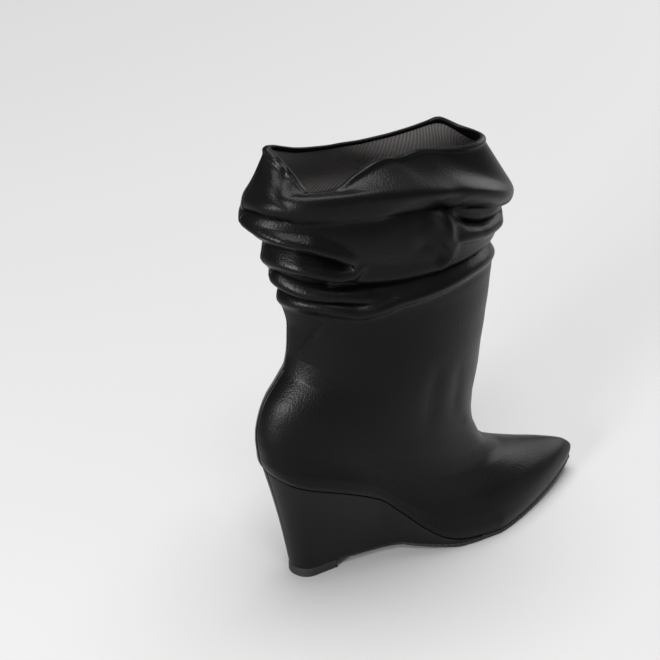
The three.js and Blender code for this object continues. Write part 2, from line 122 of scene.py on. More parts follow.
# Rings of the inner side of the upper's wall, from the seat line to the collar, in percents
RING_COLUMNS = (
    "back_x", "back_z", "run", "front_z", "lateral", "medial", "shaft", "widest", "rear_lateral",
    "rear_medial", "toe_power", "toe_root", "waist", "sag", "bow", "back_y", "front_y",
)
RINGS = np.array([
    (0, 0, 100, 0, 103, 95, 0, 65, 2.9, 2.3, 1.2, 1.2, 21, 100, 0, 0, 2),
    (-0.5, 2.4, 100.3, 2.4, 104.5, 97, 0, 65, 2.9, 2.3, 1.2, 1.25, 19, 93, 0, 0, 2),
    (-1, 4.8, 98.5, 4.5, 104, 95, 0, 64.5, 2.9, 2.1, 1.3, 1.4, 16, 84, 0, 0, 3),
    (-1.3, 7.1, 94.2, 6.3, 100, 90, 0, 64, 2.8, 2, 1.4, 1.5, 12, 70, 0, 0, 3),
    (-1.6, 9.5, 87.5, 8.2, 95, 86, 0, 62, 2.7, 1.9, 1.5, 1.6, 8, 54, 0, 0, 3),
    (-1.8, 11.9, 81.5, 10.2, 92.5, 84, 0.02, 60, 2.5, 1.8, 1.6, 1.7, 5, 38, 0, 0, 3),
    (-1.8, 14.2, 77.2, 12.6, 91, 83, 0.1, 57, 2.3, 1.7, 1.7, 1.8, 3, 24, 0, 0, 2),
    (-1.5, 17, 75.8, 16, 91, 83, 0.22, 54, 2.1, 1.6, 1.8, 1.8, 1, 13, 0, 0, 0),
    (-0.8, 20.4, 76.8, 20.8, 92.5, 85, 0.38, 52, 1.9, 1.5, 1.9, 1.8, 0, 6, 0, 0, -2),
    (0.9, 25.1, 80.4, 26.6, 94, 88, 0.58, 50, 1.8, 1.4, 2, 1.8, 0, 2, 0, 0, -2),
    (3.9, 29.9, 85.4, 32.9, 96, 90, 0.78, 50, 1.7, 1.3, 2, 1.8, 0, 0, 0, 0, -2),
    (6.8, 35, 91, 40.5, 99, 92, 0.92, 50, 1.6, 1.3, 2, 1.7, 0, 0, 0, 0, -2),
    (7.7, 42.2, 96, 48.8, 101, 94, 1, 50, 1.6, 1.3, 2, 1.7, 0, 0, 0, 0, -2),
    (7.8, 48.8, 97.8, 56.7, 102, 95, 1, 50, 1.6, 1.3, 2, 1.7, 0, 0, 0, 0, -2),
    (6.6, 55.5, 101, 63.7, 103, 96, 1, 50, 1.6, 1.3, 2, 1.7, 0, 0, 0, 0, -3),
    (5, 60.7, 104, 67, 104.5, 97, 1, 50, 1.7, 1.3, 2, 1.7, 0, 0, 0, 0, -4),
    (3.6, 65, 106, 69.5, 105, 97, 1, 50, 1.7, 1.3, 2, 1.7, 0, 0, 0, 0, -4),
    (1.7, 72, 110, 71.2, 106, 97, 1, 50, 1.8, 1.3, 2, 1.7, 0, 0, 0, 0, -4),
    (0.1, 80, 112, 72.2, 106, 97, 1, 50, 2, 1.3, 2, 1.8, 0, 0, 0, 0, -5),
    (-2.6, 84.8, 117, 75, 110, 97, 1, 50, 2.2, 1.4, 2, 1.9, 0, 0, 5, 0, -8),
    (-5.2, 90.5, 123, 78.6, 114, 94, 1, 50, 2.3, 1.4, 2, 2, 0, 0, 12, 0, -14),
    (-4.6, 95.7, 120.5, 81.4, 111, 88, 1, 50, 2.4, 1.4, 2, 2, 0, 0, 24, 1, -22),
    (-2.4, 99, 122.5, 84, 106, 78, 1, 50, 2.8, 1.4, 2, 2, 0, 0, 36, 3, -26),
], float)
RIDGE_RING = len(RINGS) - 1
WAIST_STATION = 33
WAIST_SPREAD = 12
SEAT_TUCK = [(0, 100), (1, 20), (2, 0)]

# Collar's edge from the back seam over the outer side: turn, forward, inward and up, all in percent
COLLAR_EDGE = np.array([
    (0, 5, 3.5, 106.7), (5, 9, -17, 102.6), (10, 13, -31, 98.7), (15, 21.5, -35.5, 98.7),
    (20, 32, -34, 101), (25, 45, -32, 102.5), (27.5, 52, -32.6, 102), (31, 61.5, -32.5, 102.4),
    (35, 72, -33.5, 101.8), (40, 86, -36, 100.6), (43, 94, -33, 100.2),
    (45.5, 100.5, -23, 99.6), (48, 97, -8, 99.6), (50, 89.5, 5, 101.6),
    (53, 86, 10, 100.8), (60, 76, 15, 99.6), (65, 66, 18.5, 99), (70, 55, 21.5, 98.8), (75, 44, 24, 99.1),
    (80, 34, 23, 100), (85, 25, 20, 101.4), (90, 17, 15, 103.4), (95, 10, 9.5, 105.4), (100, 5, 3.5, 106.7),
], float)
COLLAR_ROWS = 3
TOP_RING = RIDGE_RING + COLLAR_ROWS

# Rounding of the ridge under the collar: rings below it where it starts, and rounds of averaging
RIDGE_REACH = 2
RIDGE_ROUNDS = 12

# The collar's outer front corner, which is eased: its turn, reach, fade and rounds of averaging
CORNER_TURN = 0.42
CORNER_REACH = 0.08
CORNER_FADE = 0.03
CORNER_ROUNDS = 40

# Main folds: half width above and below, then turn, height and depth along the path, all in percent
FOLDS = {
    "ridge of the collar": (80, 55, [
        (-2, 94.6, 0), (2, 96.4, -8), (6, 97.4, -10), (10, 98, -8), (14, 98.4, -8), (18, 98.4, -14),
        (22, 97.6, -24), (25, 97, -36), (28, 95.9, -44), (31, 94.4, -46), (34, 92.3, -46), (38, 88.6, -40),
        (43, 84.5, -22), (48, 83, 0)]),
    "soft side of the top roll": (130, 170, [
        (-5, 94, 0), (0, 93.4, 15), (7, 93.6, 45), (12, 93.4, 62), (18, 93, 66), (24, 92, 55), (29, 91, 20)]),
    "crease under the rear horn": (38, 45, [
        (-4, 93.6, 0), (0, 94.8, 45), (2.5, 95.4, 85), (6, 95.2, 60), (10, 94.6, 0)]),
    "hollow under the lip": (75, 110, [
        (21, 93.4, 0), (25, 92.2, 60), (30, 90.6, 112), (34, 88.2, 110), (37.5, 86.2, 90), (42, 84.4, 50),
        (48, 82, 5)]),
    "rear pinch": (70, 62, [
        (-9, 86.6, 0), (-4, 86.6, 40), (0, 86.6, 85), (3, 86.6, 140), (8, 86.4, 160), (11.7, 85.3, 150),
        (14.6, 83.7, 120), (15.4, 83, 90)]),
    "lips of the rear pinch": (50, 38, [
        (-7, 94, 0), (-2, 92.6, -30), (3.7, 91, -70), (7.4, 90.1, -92), (11.7, 89, -92), (14.8, 86.9, -82),
        (16.3, 84.4, -70), (16.9, 82, -62), (15.8, 80.5, -62), (13.9, 80.2, -66), (11.7, 81.1, -70),
        (8.5, 82.1, -72), (4.8, 82.5, -58), (0, 82.2, -40), (-4, 82, -20), (-8, 82, 0)]),
    "dent of the second roll": (48, 48, [
        (-7, 79, 0), (-2, 79, 35), (2.8, 79.4, 80), (6, 78.6, 100), (9, 77.8, 90), (11.5, 77.4, 50)]),
    "upper lip of the ankle pinch": (36, 36, [
        (-6, 78, 0), (-1, 77.4, -15), (3.1, 76.4, -30), (7.4, 75.2, -42), (11, 74.7, -42),
        (14.2, 74.4, -38), (17, 73.5, -22)]),
    "ankle pinch": (42, 42, [
        (-8, 74, 0), (-4, 74, 35), (0, 74.2, 80), (3.5, 74.2, 120), (7, 73.6, 125), (10.5, 73.1, 110),
        (13.5, 72.7, 115),
        (16, 72.1, 80)]),
    "ankle crest": (40, 60, [
        (-7, 71, 0), (-1, 71.3, -22), (3.7, 71.7, -36), (6.8, 71.9, -38), (10.5, 71.6, -36), (13, 70.8, -38),
        (15.3, 70, -40), (17.3, 70.4, -42), (19.5, 71.3, -46), (21.3, 72.1, -48), (27.6, 72.4, -48),
        (33, 72.6, -46), (36, 72.2, -42), (43, 70.6, -30), (48, 69.4, -10)]),
    "pocket over the ankle crest": (55, 55, [(10, 76.6, 20), (14, 76, 80), (19, 75.2, 80), (24, 74.8, 30)]),
    "long crease": (36, 60, [
        (9, 78.2, 0), (12.8, 78.9, 60), (17.6, 77.2, 100), (22.4, 76.1, 115), (28.4, 75.3, 125),
        (34.7, 74.8, 120), (41.8, 74, 105), (46, 72.9, 75), (50, 72.4, 60), (55, 72.6, 55)]),
    "left of the dimple": (150, 150, [(25, 92, 20), (24.5, 88, 40), (25.4, 84, 20)]),
    "dimple of the top roll": (95, 95, [
        (29, 93.5, 20), (28, 91, 40), (27, 87.5, 62), (27.4, 84, 55), (28.6, 80.5, 30)]),
    "upright fold of the top roll": (36, 36, [
        (30.8, 94, 0), (30.4, 91.5, -25), (29.4, 88.6, -50), (29.4, 84.6, -56), (30.4, 81.4, -54),
        (30, 78.6, -40), (28.6, 76.8, -10)]),
    "ridge before the upright fold": (34, 34, [
        (31.8, 89.6, -20), (34, 87.8, -46), (37, 86.2, -52), (41, 85.2, -40), (45, 84.4, -10)]),
    "front hollow of the top roll": (52, 52, [
        (31.6, 86.6, 60), (33.5, 84.6, 110), (36, 82.8, 115), (40, 81.4, 90), (44, 80.6, 30)]),
    "front foot of the top roll": (42, 42, [
        (31.5, 82.6, -30), (36.5, 80.6, -46), (41.5, 79.2, -40), (46, 78, -10)]),
    "inner long crease": (65, 75, [
        (97, 86.4, 0), (90, 83.6, 55), (82, 81.3, 80), (72, 78.6, 80), (62, 75.3, 70), (55, 73, 55)]),
    "inner ankle pinch": (62, 62, [(96, 74, 20), (90, 74.6, 60), (80, 72.6, 65), (72, 70.6, 25)]),
    "inner top hollow": (110, 110, [(88, 90, 20), (80, 87.6, 75), (70, 85, 65), (66, 84, 25)]),
    "inner upright fold": (65, 65, [(60, 90, -10), (66, 85.6, -36), (70, 82, -20)]),
}
SHAFT_GIRTH = math.pi * (SHAFT_DEPTH + SHAFT_WIDTH) / 2

# Fine creases: half width in mm, then turn in percent, height and depth in mm along the path
CREASES = {
    "slant crease over the ankle": (1.8, [
        (3.5, 172, 0), (5, 179, 0.9), (7, 190, 1.2), (9.4, 200, 0.9), (11, 205, 0)]),
    "first crumple of the rear rim": (2.2, [(2, 317, 0), (3, 311, 1.2), (4, 306, 1.0), (5.4, 301, 0)]),
    "second crumple of the rear rim": (2.0, [(4.2, 313, 0), (5, 308, 1.0), (6.4, 304, 0.9), (8.4, 299, 0)]),
    "first fall over the instep": (5.5, [(30.6, 100, 0), (29.4, 118, 0.9), (28, 140, 1.1), (27.4, 160, 0)]),
    "second fall over the instep": (4.5, [(36.5, 98, 0), (34.6, 116, 0.8), (33, 138, 0.6), (32.4, 150, 0)]),
    "crease at the throat": (2.2, [(34, 92, 0), (38.4, 89, 0.7), (43, 86, 0.5), (47, 85, 0)]),
    "tuck under the rim": (2.0, [(3, 303, 0), (5, 300, 0.9), (8, 295, 0.7), (11, 291, 0)]),
}

# Columns round the boot: even ones, and more at these turns on both sides of the back seam
COLUMNS = 352
SEAM_COLUMNS = (0.00015, 0.0005, 0.0012, 0.0021, 0.0032, 0.0046)
SEAM_MARGIN = 0.001
SEAM_TURNS = 0.05

# Rows of the outer skin, with the ring levels where the foot, the folds and the close rows of the rim start
EDGE_LEVELS = (0, 0.03, 0.07, 0.13, 0.2)
FOOT_START = 0.3
FOOT_ROWS = 46
FOLDS_START = 12.0
FOLD_ROWS = 138
RIM_START = TOP_RING - 0.5
RIM_ROWS = 14
RIM_POWER = 1.5

# Rows of the inside, with the shares of the way up where the hidden rows get wider and the lining ends
FACING_ROWS = 9
RIM_STEPS = 8
HIDDEN_FOLDS = 0.27
HIDDEN_FOLD_ROWS = 47
HIDDEN_FOOT_ROWS = 9
LINING_ROWS = 112
LINING_END = 0.004

# Columns and rows to each side that a surface's direction is taken over, and rounds that soften the folds
DIRECTION_REACH = 3
FOLD_ROUNDS = 2

# Edges of the blocks: steps of a rounding, most share of the height, least height, radius if covered
ROUND_STEPS = 4
MOST_ROUND = 0.45
LEAST_HEIGHT = 0.01
COVERED_ROUND = 0.3

# Stations along each block, and steps of their walls
SOCK_STATIONS = 97
WEDGE_STATIONS = 121
SHANK_STATIONS = 61
FRONT_STATIONS = 91
LIFT_STATIONS = 49
HOLLOW_STEPS = 40
PLAIN_STEPS = 12
LOW_STEPS = 6

# Middle and half length of the facing's tall part, in turns
FACING_FRONT = 0.465
FACING_SPREAD = 0.035

# Slow clouds in the finishes, in metres, and the darkest and lightest shade of each colour
LEATHER_CLOUDS = 0.022
RUBBER_CLOUDS = 0.012
LINING_CLOUDS = 0.015
LEATHER_SHADES = (0.75, 1.35)
RUBBER_SHADES = (0.8, 1.3)
LINING_SHADES = (0.35, 1.5)

# Leather: size and depth of its fine grain as a share of the pebbles', and what the folds do to its look:
# roughness, painted shade in the troughs and painted highlight on the ridges
FINE_GRAIN = 0.35
FOLD_SHEEN = 0.08
FOLD_PAINTED_SHADE = 0.35
CREASE_WEIGHT = 3

# How much lighter the wedge's cover is than the upper: painted light, the upper's leather lightened to stand
# in for the brighter light on the boot's low parts
WEDGE_PAINTED_LIGHT = 3.5

# Stipple and ribs of the rubber, in metres
STIPPLE_SIZE = 0.0006
STIPPLE_DEPTH = 0.00006
RIB_DEPTH = 0.0004

# Slant of the lining's ribs, and its threads' pitch as a share of theirs
SLANT = (0.62, 0.78)
THREAD_SHARE = 0.3

# Floor and world: half the floor's side in millimetres, size of its faint mottling, the world's strength
FLOOR_HALF = 4000
MOTTLE_SIZE = 0.4
MOTTLE_SHADES = (0.995, 1.005)
WORLD_LIGHT = 0.4


def percent(share, size):
    return share * size / 100


def blend(low, high, share):
    return low + (high - low) * share


def through(rows, place):
    """Smooth curve through [place, value] rows: a cubic in each gap that starts and ends with the
    harmonic mean of the slopes on both sides, and is level at each turning point."""
    rows = np.asarray(rows, float)
    at, values = rows[:, 0], rows[:, 1]
    run = np.diff(at)
    slopes = np.diff(values) / run
    before, after = slopes[:-1], slopes[1:]
    same_way = before * after > 0
    middle = np.where(same_way, 2 * before * after / np.where(same_way, before + after, 1), 0)
    lean = np.concatenate([slopes[:1], middle, slopes[-1:]])
    gap = np.clip(np.searchsorted(at, place) - 1, 0, len(run) - 1)
    t = np.clip((place - at[gap]) / run[gap], 0, 1)
    rest = 1 - t
    ends = values[gap] * rest**2 * (1 + 2 * t) + values[gap + 1] * t**2 * (3 - 2 * t)
    return ends + run[gap] * t * rest * (lean[gap] * rest - lean[gap + 1] * t)


def seat_height(share):
    """Height of the seat line at a share of the sole's length: the profile, plus a square rise to the toe."""
    station = np.asarray(share) * 100
    rise = percent(through(SEAT_PROFILE, station), HEEL_SEAT_HEIGHT - BALL_HEIGHT)
    past = np.maximum(0, station - BALL_STATION) / (100 - BALL_STATION)
    return BALL_HEIGHT + rise + TOE_SPRING * past**2


def ring_at(level):
    """Every column of the ring table at the given levels, as upright arrays."""
    places = np.arange(len(RINGS))
    return {
        name: through(np.stack([places, RINGS[:, i]], 1), level)[..., None]
        for i, name in enumerate(RING_COLUMNS)
    }


def fullness(ring, share, rear_root):
    """Half width at a share of a ring's run, as a share of the widest: a root of one less a power of the
    distance from the widest place, less a bell at the waist."""
    widest = ring["widest"] / 100
    behind = share < widest
    away = np.where(behind, (widest - share) / widest, (share - widest) / (1 - widest))
    power = np.where(behind, 2, ring["toe_power"])
    root = np.where(behind, rear_root, ring["toe_root"])
    full = np.maximum(0, 1 - np.clip(away, 0, 1) ** power) ** (1 / root)
    waist = (share * 100 - WAIST_STATION) / WAIST_SPREAD
    return full * (1 - percent(ring["waist"], np.exp(-(waist**2))))


def ring_points(ring, turn):
    """Points of the rings at turns from 0 at the back seam past the outer side and the front to 1."""
    angle = turn * 2 * math.pi
    outer = np.sin(angle) >= 0
    share = (1 - np.cos(angle)) / 2
    half = blend(BALL_WIDTH, SHAFT_WIDTH, ring["shaft"]) / 2
    length = blend(SOLE_LENGTH, SHAFT_DEPTH, ring["shaft"])
    rear = np.where(outer, ring["rear_lateral"], ring["rear_medial"])
    side = np.where(outer, -ring["lateral"], ring["medial"])
    width = percent(side, half) * fullness(ring, share, rear)
    back_seat, toe_seat = seat_height(0.0), seat_height(1.0)
    back_z = back_seat + percent(ring["back_z"], COLLAR_HEIGHT - back_seat)
    front_z = toe_seat + percent(ring["front_z"], COLLAR_HEIGHT - toe_seat)
    sag = percent(ring["sag"], seat_height(share) - blend(back_seat, toe_seat, share))
    bow = np.where(outer, percent(ring["bow"], half) * np.sin(math.pi * share), 0)
    return np.stack([
        percent(ring["back_x"], SOLE_LENGTH) + percent(ring["run"], length) * share,
        width + percent(blend(ring["back_y"], ring["front_y"], share), half),
        blend(back_z, front_z, share) + sag + bow,
    ], -1)


def collar_points(turn):
    """The collar's edge: a smooth curve through each column of its table."""
    sizes = (SHAFT_DEPTH, SHAFT_WIDTH, COLLAR_HEIGHT)
    return np.stack([
        percent(through(COLLAR_EDGE[:, (0, i + 1)], turn * 100), size) for i, size in enumerate(sizes)
    ], -1)


def valley(path, above, below, around, height):
    """Depth of a fold at places of the unrolled shaft, and how far above its path they are: the depth is
    the path's own times a bell of the distance from it, with one half width above and another below.
    The second value is that depth, up to MOST_CLOSING half widths, times the height over the path in half
    widths, and less on steep paths."""
    nearest = np.full(around.shape, np.inf)
    over, level = np.zeros(around.shape), np.zeros(around.shape)
    depth = np.zeros(around.shape)
    for (ax, ay, deep), (bx, by, deeper) in zip(path[:-1], path[1:]):
        dx, dy = bx - ax, by - ay
        for place in (around, around - SHAFT_GIRTH):
            along = np.clip(((place - ax) * dx + (height - ay) * dy) / (dx * dx + dy * dy), 0, 1)
            gap_x, gap_y = place - ax - dx * along, height - ay - dy * along
            gap = np.hypot(gap_x, gap_y)
            closer = gap < nearest
            nearest = np.where(closer, gap, nearest)
            over = np.where(closer, gap_y, over)
            level = np.where(closer, abs(dx) / math.hypot(dx, dy), level)
            depth = np.where(closer, deep + (deeper - deep) * along, depth)
    side = np.clip(0.5 + 0.5 * over / np.maximum(nearest, 1e-6), 0, 1)
    width = blend(below, above, side * side * (3 - 2 * side))
    depth = depth * np.exp(-((nearest / width) ** 2))
    return depth, level * np.clip(depth, 0, MOST_CLOSING * width) * over / width


def fold_moves(turn, height):
    """How far all main folds move each place inwards, and down where the lips of a fold close over it."""
    around = np.broadcast_to(turn * SHAFT_GIRTH, height.shape)
    inwards, down = np.zeros(height.shape), np.zeros(height.shape)
    for above, below, path in FOLDS.values():
        steps = np.array(path, float) * (SHAFT_GIRTH, COLLAR_HEIGHT, FOLD_DEPTH) / 100
        depth, over = valley(steps, percent(above, FOLD_WIDTH), percent(below, FOLD_WIDTH), around, height)
        inwards += depth
        down += over * LIP_CLOSING
    return softened(inwards), softened(down)


def crease_depths(turn, height):
    """How deep the fine creases are at each place, in millimetres."""
    around = np.broadcast_to(turn * SHAFT_GIRTH, height.shape)
    total = np.zeros(height.shape)
    for width, path in CREASES.values():
        steps = np.array(path, float) * (SHAFT_GIRTH / 100, 1, 1)
        total += valley(steps, width, width, around, height)[0]
    return total


def softened(field):
    """A grid of values, closed around, averaged with its neighbours: a quarter, a half, a quarter."""
    for _ in range(FOLD_ROUNDS):
        field = (np.roll(field, 1, 1) + 2 * field + np.roll(field, -1, 1)) / 4
        edges = np.concatenate([field[:1], field, field[-1:]])
        field = (edges[:-2] + 2 * field + edges[2:]) / 4
    return field


def rounded_ridge(grid, level):
    """Rows of points from under the ridge up to the collar averaged with the rows on both sides, several
    times over. The collar's own row stays."""
    inner = level > RIDGE_RING - RIDGE_REACH
    inner[-1] = False
    for _ in range(RIDGE_ROUNDS):
        middle = grid.copy()
        middle[1:-1] = (grid[:-2] + 2 * grid[1:-1] + grid[2:]) / 4
        grid = np.where(inner[:, None, None], middle, grid)
    return grid


def eased_corner(ring, turn):
    """A ring of points averaged with its neighbours at the outer front corner, several times over."""
    share = np.clip((CORNER_REACH - np.abs(turn - CORNER_TURN)) / CORNER_FADE, 0, 1)[:, None]
    eased = ring
    for _ in range(CORNER_ROUNDS):
        eased = (np.roll(eased, 1, 0) + 2 * eased + np.roll(eased, -1, 0)) / 4
    return blend(ring, eased, share)


def outward(grid):
    """Unit outward directions of a grid of rings: the way round crossed with the way up."""
    last = len(grid) - 1
    rows = np.arange(len(grid))
    across = np.roll(grid, -DIRECTION_REACH, 1) - np.roll(grid, DIRECTION_REACH, 1)
    above, below = np.minimum(rows + DIRECTION_REACH, last), np.maximum(rows - DIRECTION_REACH, 0)
    up = grid[above] - grid[below]
    away = np.cross(across, up)
    away[0, :, 2] = 0
    return away / np.linalg.norm(away, axis=-1, keepdims=True)


def shaft_turns():
    """Places of the columns round the boot: even, with a few more beside the back seam."""
    near = np.array(SEAM_COLUMNS)
    even = np.linspace(0, 1, COLUMNS, endpoint=False)
    clear = near[-1] + SEAM_MARGIN
    even = even[(even == 0) | ((even > clear) & (even < 1 - clear))]
    return np.sort(np.concatenate([even, near, 1 - near]))


def shaft_levels():
    """Ring levels of the rows: close at the seat's edge, in the folds and at the rim, wider on the foot."""
    foot = np.linspace(FOOT_START, FOLDS_START, FOOT_ROWS, endpoint=False)
    shaft = np.linspace(FOLDS_START, RIM_START, FOLD_ROWS, endpoint=False)
    rim = TOP_RING - (TOP_RING - RIM_START) * np.linspace(1, 0, RIM_ROWS) ** RIM_POWER
    return np.concatenate([EDGE_LEVELS, foot, shaft, rim])


class Wall:
    """The upper's wall: the surface over the last with its main folds, and the way out from it."""

    def __init__(self):
        self.turn = shaft_turns()
        self.level = shaft_levels()
        points = ring_points(ring_at(np.minimum(self.level, RIDGE_RING)), self.turn)
        rise = np.clip((self.level - RIDGE_RING) / COLLAR_ROWS, 0, 1)[:, None, None]
        points = blend(points, eased_corner(collar_points(self.turn), self.turn), rise)
        points = rounded_ridge(points, self.level)
        self.fold, down = fold_moves(self.turn, points[..., 2])
        angle = self.turn * 2 * math.pi
        forward, across = np.cos(angle) / SHAFT_DEPTH, np.sin(angle) / SHAFT_WIDTH
        inward = np.stack([forward, across, np.zeros_like(angle)], -1)
        inward /= np.linalg.norm(inward, axis=-1, keepdims=True)
        self.points = points + inward * self.fold[..., None] - down[..., None] * (0, 0, 1)
        self.out = outward(self.points)
        self.tuck = percent(through(SEAT_TUCK, np.clip(self.level, 0, 2)), WALL)

    def skin(self, reach):
        """The surface that lies reach millimetres outside the wall's inner side."""
        return self.points + self.out * (reach - self.tuck)[:, None, None]

    def below_rim(self):
        """How far every point lies under the collar's edge, along the surface."""
        steps = np.linalg.norm(np.diff(self.points[::-1], axis=0), axis=-1)
        return np.concatenate([np.zeros((1, steps.shape[1])), np.cumsum(steps, axis=0)])[::-1]

    def rows_below(self, depths):
        """Fractional rows that lie the given depths under the collar, along the surface, for each column."""
        fallen = self.below_rim()[::-1]
        row = (fallen[None] <= depths[:, None]).sum(1) - 1
        start, end = np.take_along_axis(fallen, row, 0), np.take_along_axis(fallen, row + 1, 0)
        return len(self.points) - 1 - (row + (depths - start) / (end - start))


def at_rows(grid, rows):
    """Points of a grid at fractional rows, each column with rows of its own, straight between neighbours."""
    low = np.clip(np.floor(rows).astype(int), 0, len(grid) - 2)
    columns = np.arange(grid.shape[1])
    return blend(grid[low, columns], grid[low + 1, columns], (rows - low)[..., None])


def surface(name, points, faces, finish, smooth=True):
    """A mesh object of points in millimetres from the heel's back, moved to the frame and to metres."""
    place = (points.reshape(-1, 3) + (HEEL_BACK, 0, 0)) * MM
    mesh = bpy.data.meshes.new(name)
    mesh.from_pydata(place.tolist(), [], faces.reshape(-1, faces.shape[-1]).tolist())
    mesh.polygons.foreach_set("use_smooth", np.broadcast_to(smooth, len(mesh.polygons)).tolist())
    mesh.materials.append(finish)
    mesh.update()
    piece = bpy.data.objects.new(name, mesh)
    bpy.context.scene.collection.objects.link(piece)
    return piece


def closed_faces(rows, columns, loop_rows):
    """Quads of a grid that is closed around, and closed from its last row to its first if loop_rows."""
    i = np.arange(rows if loop_rows else rows - 1)[:, None]
    j = np.arange(columns)[None, :]
    below, above = i * columns, (i + 1) % rows * columns
    right = (j + 1) % columns
    return np.stack([below + j, below + right, above + right, above + j], -1).reshape(-1, 4)


def clean(piece):
    """Merges the points that meet at seams and poles."""
    work = bmesh.new()
    work.from_mesh(piece.data)
    bmesh.ops.remove_doubles(work, verts=work.verts, dist=1e-6)
    bmesh.ops.dissolve_degenerate(work, edges=work.edges, dist=1e-7)
    work.to_mesh(piece.data)
    work.free()
    return piece


def seat_widths(x):
    """Half widths of the sole's edge to the outer and inner side at distances from the heel's back."""
    ring = {name: RINGS[0, i] for i, name in enumerate(RING_COLUMNS)}
    share = np.clip(x / SOLE_LENGTH, 0, 1)
    middle = percent(blend(ring["back_y"], ring["front_y"], share), BALL_WIDTH / 2)
    outer = percent(ring["lateral"], BALL_WIDTH / 2) * fullness(ring, share, ring["rear_lateral"])
    inner = percent(ring["medial"], BALL_WIDTH / 2) * fullness(ring, share, ring["rear_medial"])
    return outer - middle, inner + middle


def past_lift(x):
    return np.maximum(0, (x - LIFT_FRONT) / (WEDGE_LENGTH - LIFT_FRONT)) * 100


def lift_half(x):
    """Half width of the heel's foot: straight sides with a half round back."""
    radius = TOP_LIFT_WIDTH / 2
    short = np.maximum(0, radius - (x - HEEL_PITCH))
    return np.sqrt(np.maximum(0, radius**2 - short**2))


def shank_top(x):
    drop = through(SHANK_DROP, np.minimum(past_lift(x), 100))
    return blend(LIFT_TOP, BALL_HEIGHT, drop / 100) - CLEARANCE


def shank_widths(x):
    flare = through(SHANK_FLARE, np.minimum(past_lift(x), 100)) / 100
    return tuple(blend(lift_half(x), seat, flare) for seat in seat_widths(x))


def loop_of(x, z, outer, inner):
    """Plan outline at its own heights: back along the outer side, then forward along the inner side."""
    return np.stack([
        np.concatenate([x[::-1], x]), np.concatenate([-outer[::-1], inner]), np.concatenate([z[::-1], z])
    ], -1)


def block(name, top, low, finish, top_round, low_round, hollow=0.0, walls=PLAIN_STEPS):
    """Body between two plan outlines of the same stations. Its walls run straight from one to the other,
    drawn in by the hollow, a sine of the way down, and both edges are rounded by quarter circles."""
    turn = np.linspace(0, math.pi / 2, ROUND_STEPS + 1)
    share = np.linspace(0, 1, walls + 1)[1:-1]
    nil, full = np.zeros(walls - 1), np.ones(walls - 1)
    no_round, all_round = np.zeros(ROUND_STEPS + 1), np.ones(ROUND_STEPS + 1)
    from_top = np.concatenate([1 - np.cos(turn), full, all_round])
    along = np.concatenate([no_round, share, all_round])
    from_low = np.concatenate([no_round, nil, np.sin(turn)])
    in_top = np.concatenate([1 - np.sin(turn), nil, no_round])
    in_low = np.concatenate([no_round, nil, 1 - np.cos(turn)])
    tall = np.maximum((top - low)[:, 2], LEAST_HEIGHT)
    upper = np.minimum(top_round, MOST_ROUND * tall)
    lower = np.minimum(low_round, MOST_ROUND * tall)
    drop = from_top[:, None] * upper + along[:, None] * (tall - upper - lower) + from_low[:, None] * lower
    points = blend(top, low, (drop / tall)[..., None])
    ahead = np.roll(points, -1, 1) - np.roll(points, 1, 1)
    inward = np.stack([ahead[..., 1], -ahead[..., 0], np.zeros(drop.shape)], -1)
    inward /= np.maximum(np.linalg.norm(inward, axis=-1, keepdims=True), 1e-9)
    inset = in_top[:, None] * upper + in_low[:, None] * lower
    inset += hollow * np.clip(tall / HEEL_SEAT_HEIGHT, 0, 1) * np.sin(math.pi * drop / tall)
    points = points + inward * inset[..., None]
    rows, columns = points.shape[:2]
    half = columns // 2
    station = np.arange(half - 1)
    outer, inner = half - 1 - station, half + station
    cap = np.stack([outer, outer - 1, inner + 1, inner], -1)
    base = (rows - 1) * columns
    faces = np.concatenate([closed_faces(rows, columns, False), cap, base + cap[:, ::-1]])
    smooth = np.arange(len(faces)) < (rows - 1) * columns
    return clean(surface(name, points, faces, finish, smooth))


class Socket:
    """An output socket of a material. Sums, differences and products of it add Math nodes."""

    def __init__(self, tree, socket):
        self.tree, self.socket = tree, socket

    def math(self, operation, first, second=None, clamp=False):
        node = self.tree.nodes.new("ShaderNodeMath")
        node.operation, node.use_clamp = operation, clamp
        for place, value in zip(node.inputs, (first, second)):
            if isinstance(value, Socket):
                self.tree.links.new(value.socket, place)
            elif value is not None:
                place.default_value = value
        return Socket(self.tree, node.outputs[0])

    def __add__(self, other):
        return self.math("ADD", self, other)

    def __sub__(self, other):
        return self.math("SUBTRACT", self, other)

    def __rsub__(self, other):
        return self.math("SUBTRACT", other, self)

    def __mul__(self, other):
        return self.math("MULTIPLY", self, other)

    __radd__ = __add__
    __rmul__ = __mul__

    def sine(self):
        return self.math("SINE", self)

    def clamped(self):
        return self.math("ADD", self, 0.0, clamp=True)


